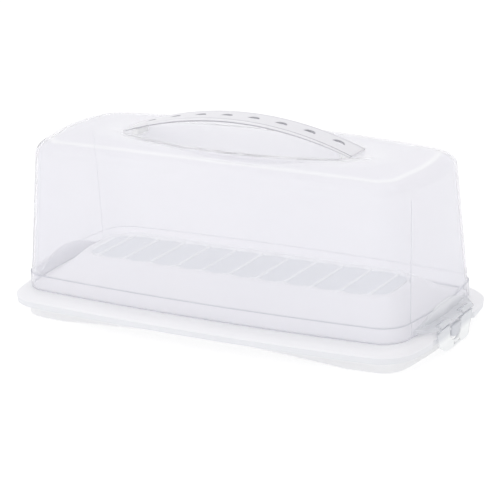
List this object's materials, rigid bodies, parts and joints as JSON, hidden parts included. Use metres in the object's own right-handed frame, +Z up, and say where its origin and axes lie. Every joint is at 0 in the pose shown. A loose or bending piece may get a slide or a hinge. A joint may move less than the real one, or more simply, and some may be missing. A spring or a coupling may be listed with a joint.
{
  "type": "loaf cake carrier",
  "caption": "Loaf-cake carrier: ribbed tray on a foot, see-through lift-off hood with an arched carrying strap, and a swing-down clip at each end.",
  "frame": {"origin": "middle of the carrier on the surface that it stands on", "axes": "+X along the carrier to its right end, +Y from front to back, +Z up; the strap runs along X"},
  "size_m": [0.3562, 0.177, 0.1585],
  "materials": {
    "tray_plastic": "satin",
    "rib_plastic": "satin",
    "catch_plastic": "satin",
    "hood_plastic": "frosted gloss",
    "ear_plastic": "frosted gloss",
    "handle_plastic": "satin",
    "clip_plastic": "satin"
  },
  "bodies": {
    "tray": {"tray_base": "tray_plastic", "deck_ribs": "rib_plastic", "foot_skirt": "tray_plastic", "catch_right": "catch_plastic", "catch_left": "catch_plastic"},
    "hood": {"hood_shell": "hood_plastic", "ear_right": "ear_plastic", "ear_left": "ear_plastic", "handle": "handle_plastic"},
    "clip_right_body": {"clip_right": "clip_plastic"},
    "clip_left_body": {"clip_left": "clip_plastic"}
  },
  "joints": [
    {"name": "hood_lift", "type": "slide", "parent": "tray", "child": "hood", "axis": [0, 0, 1], "range_m": [0, 0.15]},
    {"name": "clip_right_hinge", "type": "hinge", "parent": "hood", "child": "clip_right_body", "pos_m": [0.1754, 0, 0.0231], "axis": [0, -1, 0], "range_deg": [0, 110]},
    {"name": "clip_left_hinge", "type": "hinge", "parent": "hood", "child": "clip_left_body", "pos_m": [-0.1754, 0, 0.0231], "axis": [0, 1, 0], "range_deg": [0, 110]}
  ]
}
